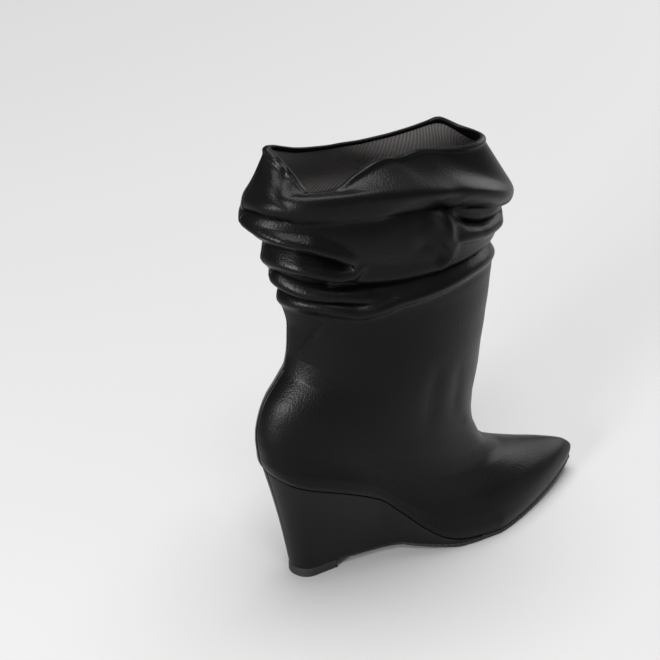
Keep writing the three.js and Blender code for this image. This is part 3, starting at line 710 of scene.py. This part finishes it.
class Finish:
    """A material in the making. node() adds any node: its settings first, then its sockets."""

    def __init__(self, name):
        self.material = bpy.data.materials.new(name)
        self.material.use_nodes = True
        self.tree = self.material.node_tree
        self.tree.nodes.clear()

    def node(self, kind, settings=None, sockets=None, output=0):
        made = self.tree.nodes.new(kind)
        for key, value in (settings or {}).items():
            setattr(made, key, value)
        for key, value in (sockets or {}).items():
            if isinstance(value, Socket):
                self.tree.links.new(value.socket, made.inputs[key])
            else:
                made.inputs[key].default_value = value
        return Socket(self.tree, made.outputs[output])

    def place(self):
        return self.node("ShaderNodeTexCoord", output="Object")

    def noise(self, place, size, detail=3.0):
        return self.node("ShaderNodeTexNoise", {}, {"Vector": place, "Scale": 1 / size, "Detail": detail})

    def tint(self, colour, shades, share):
        """A colour between two shades of itself, by a share."""
        low, high = ((*shade(colour, gain), 1.0) for gain in shades)
        return self.node("ShaderNodeMix", {"data_type": "RGBA"}, {0: share, 6: low, 7: high}, output=2)

    def bump(self, height, deep, before=None):
        sockets = {"Height": height, "Distance": deep, "Strength": 1.0}
        if before is not None:
            sockets["Normal"] = before
        return self.node("ShaderNodeBump", {}, sockets)

    def done(self, colour, roughness, normal=None, **rest):
        """Joins the surface shader and returns the material."""
        sockets = {"Base Color": colour, "Roughness": roughness}
        if normal is not None:
            sockets["Normal"] = normal
        sockets.update({key.replace("_", " "): value for key, value in rest.items()})
        shader = self.node("ShaderNodeBsdfPrincipled", {}, sockets)
        end = self.tree.nodes.new("ShaderNodeOutputMaterial")
        self.tree.links.new(shader.socket, end.inputs["Surface"])
        return self.material


def shade(colour, gain):
    """A colour made lighter or darker by a gain."""
    return tuple(min(1.0, part * gain) for part in colour)


def swinging(middle, swing, share):
    """A value that swings round its middle as a share goes from 0 to 1."""
    return share * swing + (middle - swing / 2)


def leather(name, colour, roughness, grain, depth, gloss, fold_shade_and_gloss=False):
    """Coated leather: pebbles are the cells of a Voronoi field, with a slower noise in their height and in
    the sheen. When asked for, the fold attribute dulls the troughs and darkens them with painted shade,
    and on the ridges makes the leather less rough and lighter, a painted highlight."""
    finish = Finish(name)
    place = finish.place()
    stirred = finish.noise(place, grain * 3, detail=2.0)
    cells = finish.node(
        "ShaderNodeTexVoronoi", {"feature": "SMOOTH_F1"},
        {"Vector": place, "Scale": 1 / grain, "Smoothness": 0.35, "Randomness": 0.9})
    pebble = (1.0 - cells * 1.2) * (0.6 + stirred * 0.8)
    slow = finish.noise(place, LEATHER_CLOUDS, detail=4.0)
    sheen = swinging(roughness, 0.12, slow) - pebble * 0.05
    tone_and_fold_shade = slow * 0.7 + pebble * 0.3
    # Painted shade and highlight: the fold attribute darkens the troughs and lightens the ridges, and changes
    # their roughness
    if fold_shade_and_gloss:
        fold = finish.node("ShaderNodeAttribute", {"attribute_name": "fold"}, output="Fac")
        sheen = sheen + fold * FOLD_SHEEN
        tone_and_fold_shade = tone_and_fold_shade - fold * FOLD_PAINTED_SHADE
    colours = finish.tint(colour, LEATHER_SHADES, tone_and_fold_shade.clamped())
    fine = finish.bump(finish.noise(place, grain * FINE_GRAIN, detail=2.0), depth * FINE_GRAIN)
    normal = finish.bump(pebble, depth, fine)
    return finish.done(colours, sheen, normal, Specular_IOR_Level=gloss)


def rubber(name, colour, roughness, grooves=0.0):
    """Matt rubber with a fine stipple, and shallow ribs across where grooves gives their pitch."""
    finish = Finish(name)
    place = finish.place()
    slow = finish.noise(place, RUBBER_CLOUDS)
    normal = finish.bump(finish.noise(place, STIPPLE_SIZE, detail=2.0), STIPPLE_DEPTH)
    if grooves:
        along = finish.node("ShaderNodeSeparateXYZ", {}, {"Vector": place}, output="X")
        ribs = (along * (2 * math.pi / grooves)).sine() * 0.5 + 0.5
        normal = finish.bump(ribs, RIB_DEPTH, normal)
    return finish.done(finish.tint(colour, RUBBER_SHADES, slow), swinging(roughness, 0.16, slow), normal)


def twill(name, colour, pitch, depth):
    """Woven lining: slanted ribs are a sine of the cloth's own two lengths, with threads across them."""
    finish = Finish(name)
    spread = finish.node("ShaderNodeUVMap", {"uv_map": "cloth"})
    across = finish.node("ShaderNodeSeparateXYZ", {}, {"Vector": spread}, output="X")
    up = finish.node("ShaderNodeSeparateXYZ", {}, {"Vector": spread}, output="Y")
    lean, rise = SLANT
    ribs = ((across * lean + up * rise) * (2 * math.pi / pitch)).sine() * 0.5 + 0.5
    thread_pitch = pitch * THREAD_SHARE
    threads = ((across * rise - up * lean) * (2 * math.pi / thread_pitch)).sine() * 0.5 + 0.5
    weave = ribs * 0.75 + threads * 0.25
    slow = finish.noise(finish.place(), LINING_CLOUDS)
    colours = finish.tint(colour, LINING_SHADES, (weave * 0.8 + slow * 0.3).clamped())
    return finish.done(colours, slow * 0.1 + 0.78, finish.bump(weave, depth), Sheen_Weight=0.2)


class BootSizes(bpy.types.PropertyGroup):
    """Small sizes of the boot's making that don't move its solids."""

    facing_height: bpy.props.FloatProperty(
        name="Facing height", description="Height of the leather band inside the collar, away from the front",
        default=0.0025, min=0.002, max=0.03, unit="LENGTH", precision=4)
    facing_front: bpy.props.FloatProperty(
        name="Facing height in front", description="Height of the leather band inside the collar's front",
        default=0.012, min=0.002, max=0.03, unit="LENGTH", precision=4)
    seam_depth: bpy.props.FloatProperty(
        name="Back seam depth", description="Depth of the groove where the two halves are sewn",
        default=0.0007, min=0, max=0.0012, unit="LENGTH", precision=5)
    seam_width: bpy.props.FloatProperty(
        name="Back seam width", description="Half width of the back seam's groove",
        default=0.0006, min=0.0003, max=0.002, unit="LENGTH", precision=5)
    crease_depth: bpy.props.FloatProperty(
        name="Fine creases", description="Share of their full depth that the fine creases have",
        default=1.0, min=0, max=1.5, subtype="FACTOR")
    grain: bpy.props.FloatProperty(
        name="Leather grain", description="Width of one pebble of the leather's grain",
        default=0.0014, min=0.0004, max=0.003, unit="LENGTH", precision=5)
    rib_pitch: bpy.props.FloatProperty(
        name="Lining rib pitch", description="Distance between two slanted ribs of the lining",
        default=0.0017, min=0.001, max=0.006, unit="LENGTH", precision=5)
    sole_round: bpy.props.FloatProperty(
        name="Sole edge", description="Radius of the edges of the sole, the wedge and the top piece",
        default=0.0006, min=0.0002, max=0.0012, unit="LENGTH", precision=5)


def colour_choice(label, words, value):
    return bpy.props.FloatVectorProperty(
        name=label, description=words, subtype="COLOR", size=3, min=0, max=1, default=value)


class BootColours(bpy.types.PropertyGroup):
    """Colours of the boot's materials and of the floor."""

    leather: colour_choice("Leather", "Colour of the upper and the wedge's cover", (0.0012, 0.0012, 0.0013))
    lining: colour_choice("Lining", "Colour of the woven lining", (0.12, 0.111, 0.108))
    sock: colour_choice("Sock", "Colour of the sock on the insole", (0.018, 0.016, 0.015))
    sole: colour_choice("Sole", "Colour of the outsole", (0.006, 0.006, 0.0063))
    lift: colour_choice("Top piece", "Colour of the heel's top piece", (0.0055, 0.0055, 0.0058))
    floor: colour_choice("Floor", "Colour of the floor and backdrop", (0.4, 0.4, 0.4))


def facing_drop(sizes, turn):
    """Height of the facing round the collar in millimetres: the low band, and a bell at the front."""
    front = np.exp(-(((turn - FACING_FRONT) / FACING_SPREAD) ** 2))
    return blend(sizes.facing_height, sizes.facing_front, front) / MM


def skin_depth(wall, outside, sizes):
    """How far the skin lies under the plain outer side: the fine creases, the back seam's groove as a bell
    and a rounded lower edge, less a bell for the bead along the collar."""
    depth = crease_depths(wall.turn, outside[..., 2]) * sizes.crease_depth
    seam = np.abs(outside[..., 1] - outside[:, :1, 1]) / (sizes.seam_width / MM)
    rear = (wall.turn < SEAM_TURNS) | (wall.turn > 1 - SEAM_TURNS)
    depth += np.where(rear, sizes.seam_depth / MM * np.exp(-(seam**2)), 0)
    low = np.clip(1 - wall.level / SEAT_ROUND_LEVELS, 0, 1)[:, None]
    depth += SEAT_ROUND * (1 - np.sqrt(1 - low**2))
    bead = (wall.below_rim() - BEAD_HALF) / BEAD_HALF
    return depth - BEAD * np.exp(-(bead**2))


def rolled_rim(outer, out):
    """Half circle over the wall's thickness, from the skin's last row to the inner side."""
    up = outer[-1] - outer[-2]
    up /= np.linalg.norm(up, axis=-1, keepdims=True)
    roll = np.linspace(0, math.pi, RIM_STEPS + 1)[1:-1, None, None]
    return outer[-1] - out * WALL / 2 + out * np.cos(roll) * WALL / 2 + up * np.sin(roll) * WALL / 2


def settled(piece, slot, *nodes):
    """Ties a piece to the boot's one body and hides the solids that it stands for. The slot is not used."""
    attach(piece, "root")
    if nodes:
        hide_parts(*nodes)
    return piece


class BOOT_OT_upper(bpy.types.Operator):
    """Leather upper: folds, creases, back seam, rolled collar and the facing inside it"""

    bl_idname = "boot.upper"
    bl_label = "Upper"

    def execute(self, context):
        sizes, colours = context.scene.boot_sizes, context.scene.boot_colours
        wall = Wall()
        outside = wall.skin(WALL)
        depth = skin_depth(wall, outside, sizes)
        outer = outside - wall.out * depth[..., None]
        rim = rolled_rim(outer, wall.out[-1])

        inner_side, back = wall.skin(0), wall.skin(WALL - LEATHER)
        down = np.linspace(0, 1, FACING_ROWS)[:, None]
        facing_rows = wall.rows_below(down * facing_drop(sizes, wall.turn))
        end = facing_rows[-1:]
        folds_down = np.linspace(1, HIDDEN_FOLDS, HIDDEN_FOLD_ROWS, endpoint=False)
        foot_down = np.linspace(HIDDEN_FOLDS, 0, HIDDEN_FOOT_ROWS)
        hidden_rows = end * np.concatenate([folds_down, foot_down])[:, None]
        rings = np.concatenate([outer, rim, at_rows(inner_side, facing_rows), at_rows(back, hidden_rows)])

        look = leather(
            "upper_leather", colours.leather, roughness=0.37, grain=sizes.grain, depth=0.00009,
            gloss=0.125, fold_shade_and_gloss=True)
        rows, columns = rings.shape[:2]
        piece = surface("upper_leather", rings, closed_faces(rows, columns, True), look)
        # Fold depth at each point of the skin, which the leather turns into painted shade in the troughs and
        # a painted highlight on the ridges
        folds = np.zeros((rows, columns), np.float32)
        folds[: len(outer)] = np.clip((wall.fold + depth * CREASE_WEIGHT) / FOLD_DEPTH, -1, 1)
        piece.data.attributes.new("fold", "FLOAT", "POINT").data.foreach_set("value", folds.ravel())
        settled(piece, "upper_leather", "upper")
        return {"FINISHED"}


class BOOT_OT_lining(bpy.types.Operator):
    """Woven lining inside the shaft, from under the facing down to the sock"""

    bl_idname = "boot.lining"
    bl_label = "Lining"

    def execute(self, context):
        sizes, colours = context.scene.boot_sizes, context.scene.boot_colours
        wall = Wall()
        start = wall.rows_below(facing_drop(sizes, wall.turn)[None] - LINING_OVERLAP)
        rows = start * np.linspace(1, LINING_END, LINING_ROWS)[:, None]
        near = at_rows(wall.skin(LINING_DEPTH), rows)
        far = at_rows(wall.skin(WALL - LEATHER - LINING_BACK), rows)
        rings = np.concatenate([far[::-1], near])
        columns = rings.shape[1]
        faces = closed_faces(len(rings), columns, True)
        look = twill("lining_twill", colours.lining, pitch=sizes.rib_pitch, depth=0.00025)
        piece = surface("lining", rings, faces, look)

        girth = np.append(wall.turn, 1.0) * SHAFT_GIRTH * MM
        height = rings[..., 2] * MM
        column = faces % columns
        wrapped = (column == 0) & (column.max(1, keepdims=True) == columns - 1)
        cloth = np.stack([girth[np.where(wrapped, columns, column)], height.ravel()[faces]], -1)
        piece.data.uv_layers.new(name="cloth").data.foreach_set("uv", cloth.astype(np.float32).ravel())
        settled(piece, "insole_sock")
        return {"FINISHED"}


class BOOT_OT_sock(bpy.types.Operator):
    """Sock over the insole, which closes the bottom of the upper"""

    bl_idname = "boot.sock"
    bl_label = "Sock"

    def execute(self, context):
        colours = context.scene.boot_colours
        share = (1 - np.cos(np.linspace(0, math.pi, SOCK_STATIONS))) / 2
        x = blend(INSOLE_INSET, SOLE_LENGTH - INSOLE_TIP_GAP, share)
        step = 0.5
        here, ahead = seat_widths(x), seat_widths(x + step)
        outer, inner = (
            np.maximum(INSOLE_TIP_HALF, at - INSOLE_INSET * np.hypot(1, (to - at) / step))
            for at, to in zip(here, ahead))
        low = seat_height(x / SOLE_LENGTH) + CLEARANCE
        look = leather("sock_skin", colours.sock, roughness=0.62, grain=0.0009, depth=0.00003, gloss=0.2)
        piece = block(
            "sock", loop_of(x, low + INSOLE_THICKNESS, outer, inner), loop_of(x, low, outer, inner),
            look, top_round=0.7, low_round=0.2)
        settled(piece, "insole_sock", "insole")
        return {"FINISHED"}


class BOOT_OT_wedge(bpy.types.Operator):
    """Leather cover of the wedge heel"""

    bl_idname = "boot.wedge"
    bl_label = "Wedge"

    def execute(self, context):
        sizes, colours = context.scene.boot_sizes, context.scene.boot_colours
        share = 1 - np.cos(np.linspace(0, math.pi / 2, WEDGE_STATIONS))
        top_x, foot_x = WEDGE_LENGTH * share, blend(HEEL_PITCH, WEDGE_LENGTH, share)
        top = loop_of(top_x, seat_height(top_x / SOLE_LENGTH) - SEAT_CLEARANCE, *seat_widths(top_x))
        low = loop_of(foot_x, shank_top(foot_x) + CLEARANCE, *shank_widths(foot_x))
        # The wedge's cover is the upper's leather with painted light: its colour is lightened by a gain
        look = leather(
            "wedge_leather", shade(colours.leather, WEDGE_PAINTED_LIGHT), roughness=0.45, grain=sizes.grain * 0.7,
            depth=0.00003, gloss=0.14)
        edge = sizes.sole_round / MM
        piece = block("wedge_cover", top, low, look, edge, edge, hollow=HEEL_HOLLOW, walls=HOLLOW_STEPS)
        settled(piece, "wedge_leather", "wedge")
        return {"FINISHED"}


class BOOT_OT_sole(bpy.types.Operator):
    """Outsole with its shank, and the heel's top piece"""

    bl_idname = "boot.sole"
    bl_label = "Sole and top piece"

    def execute(self, context):
        sizes, colours = context.scene.boot_sizes, context.scene.boot_colours
        edge = sizes.sole_round / MM
        shank = np.linspace(LIFT_FRONT + CLEARANCE, WEDGE_LENGTH + CLEARANCE, SHANK_STATIONS)
        share = np.sin(np.linspace(0, math.pi / 2, FRONT_STATIONS))
        front = blend(WEDGE_LENGTH + 2 * CLEARANCE, SOLE_LENGTH, share)
        x = np.concatenate([shank, front])
        under = np.arange(len(x)) < len(shank)
        seat = seat_height(x / SOLE_LENGTH)
        top = np.where(under, shank_top(x), seat - SEAT_CLEARANCE)
        dropped = through(SHANK_DROP, np.minimum(past_lift(x), 100)) / 100
        base = np.where(
            x > percent(BALL_STATION, SOLE_LENGTH), seat - BALL_HEIGHT,
            shank_top(x) - blend(SHANK_THICKNESS, OUTSOLE_THICKNESS, dropped))
        inset = blend(SHANK_INSET, 0, dropped)
        outer, inner = (np.maximum(0, wide - inset) for wide in shank_widths(x))
        outsole = block(
            "outsole_rubber", loop_of(x, top, outer, inner), loop_of(x, base, outer, inner),
            rubber("outsole_rubber", colours.sole, roughness=0.62, grooves=0.004),
            COVERED_ROUND, edge, walls=LOW_STEPS)
        settled(outsole, "outsole_rubber", "outsole")

        x = HEEL_PITCH + TOP_LIFT_LENGTH * (1 - np.cos(np.linspace(0, math.pi / 2, LIFT_STATIONS)))
        half, flat = lift_half(x), np.zeros_like(x)
        lift = block(
            "top_piece", loop_of(x, flat + TOP_LIFT_THICKNESS, half, half), loop_of(x, flat, half, half),
            rubber("top_piece_rubber", colours.lift, roughness=0.7), COVERED_ROUND, edge, walls=LOW_STEPS)
        settled(lift, "lift_rubber", "top_lift")
        return {"FINISHED"}


# The camera's place in metres, the way back to it from the boot, and its lens in millimetres
CAMERA_PLACE = Vector((-0.7419, -1.1765, 1.0168))
CAMERA_BACK = Vector((-0.4648, -0.7213, 0.5135))
CAMERA_LENS = 139.1

# Soft oval lamps: place and aim in metres, width and height in metres, power in watts
LAMPS = {
    "overhead": ((0.25, 0.3, 4.0), (0.0, 0.1, 0.0), (3.0, 3.0), 192.0),
    "front": ((-0.5, -0.85, 2.0), (0.0, 0.0, 0.2), (0.6, 0.6), 16.0),
    "left": ((-1.45, -0.72, 0.54), (0.0, 0.0, 0.14), (0.38, 0.65), 30.0),
    "right": ((1.6, 0.35, 0.75), (0.05, 0.0, 0.15), (1.2, 1.0), 9.0),
}


class BOOT_OT_stage(bpy.types.Operator):
    """Plain pale floor, soft lamps and the camera"""

    bl_idname = "boot.stage"
    bl_label = "Stage"

    def execute(self, context):
        scene = context.scene
        floor_look = Finish("floor_paper")
        mottle = floor_look.noise(floor_look.place(), MOTTLE_SIZE)
        colour = floor_look.tint(scene.boot_colours.floor, MOTTLE_SHADES, mottle)
        paper = floor_look.done(colour, 0.9, Specular_IOR_Level=0.1)
        corners = np.array([(-1, -1, 0), (1, -1, 0), (1, 1, 0), (-1, 1, 0)], float) * FLOOR_HALF
        floor = surface("floor", corners, np.array([[0, 1, 2, 3]]), paper, False)

        world = bpy.data.worlds.new("studio")
        world.use_nodes = True
        light = world.node_tree.nodes["Background"].inputs
        light["Color"].default_value = (1.0, 1.0, 1.0, 1.0)
        light["Strength"].default_value = WORLD_LIGHT
        scene.world = world
        scene.view_settings.view_transform = "Standard"

        for name, (place, aim, size, power) in LAMPS.items():
            data = bpy.data.lights.new(name, "AREA")
            data.shape, data.energy = "ELLIPSE", power
            data.size, data.size_y = size
            lamp = bpy.data.objects.new(name, data)
            lamp.location = place
            lamp.rotation_mode = "QUATERNION"
            lamp.rotation_quaternion = (Vector(aim) - Vector(place)).to_track_quat("-Z", "Y")
            lamp.visible_camera = False
            scene.collection.objects.link(lamp)

        lens = bpy.data.cameras.new("camera")
        lens.sensor_width, lens.lens = 36.0, CAMERA_LENS
        lens.clip_start, lens.clip_end = 0.05, 20.0
        camera = bpy.data.objects.new("camera", lens)
        camera.location = CAMERA_PLACE
        camera.rotation_mode = "QUATERNION"
        camera.rotation_quaternion = (-CAMERA_BACK).to_track_quat("-Z", "Y")
        scene.collection.objects.link(camera)
        scene.camera = camera
        return {"FINISHED"}


class BOOT_PT_panel(bpy.types.Panel):
    """Lists the boot's sizes, colours and pieces"""

    bl_idname = "BOOT_PT_panel"
    bl_label = "Wedge slouch boot"
    bl_space_type = "VIEW_3D"
    bl_region_type = "UI"
    bl_category = "Boot"

    def draw(self, context):
        for group in (context.scene.boot_sizes, context.scene.boot_colours):
            box = self.layout.box()
            for name in group.__annotations__:
                box.prop(group, name)
        for piece in PIECES:
            self.layout.operator(piece.bl_idname)


PIECES = (BOOT_OT_upper, BOOT_OT_lining, BOOT_OT_sock, BOOT_OT_wedge, BOOT_OT_sole, BOOT_OT_stage)
CLASSES = (BootSizes, BootColours, *PIECES, BOOT_PT_panel)


def register():
    for kind in CLASSES:
        bpy.utils.register_class(kind)
    bpy.types.Scene.boot_sizes = bpy.props.PointerProperty(type=BootSizes)
    bpy.types.Scene.boot_colours = bpy.props.PointerProperty(type=BootColours)


def unregister():
    del bpy.types.Scene.boot_colours
    del bpy.types.Scene.boot_sizes
    for kind in reversed(CLASSES):
        bpy.utils.unregister_class(kind)


def main():
    """Builds every piece and the stage."""
    register()
    bpy.ops.boot.upper()
    bpy.ops.boot.lining()
    bpy.ops.boot.sock()
    bpy.ops.boot.wedge()
    bpy.ops.boot.sole()
    bpy.ops.boot.stage()


if __name__ == "__main__":
    main()
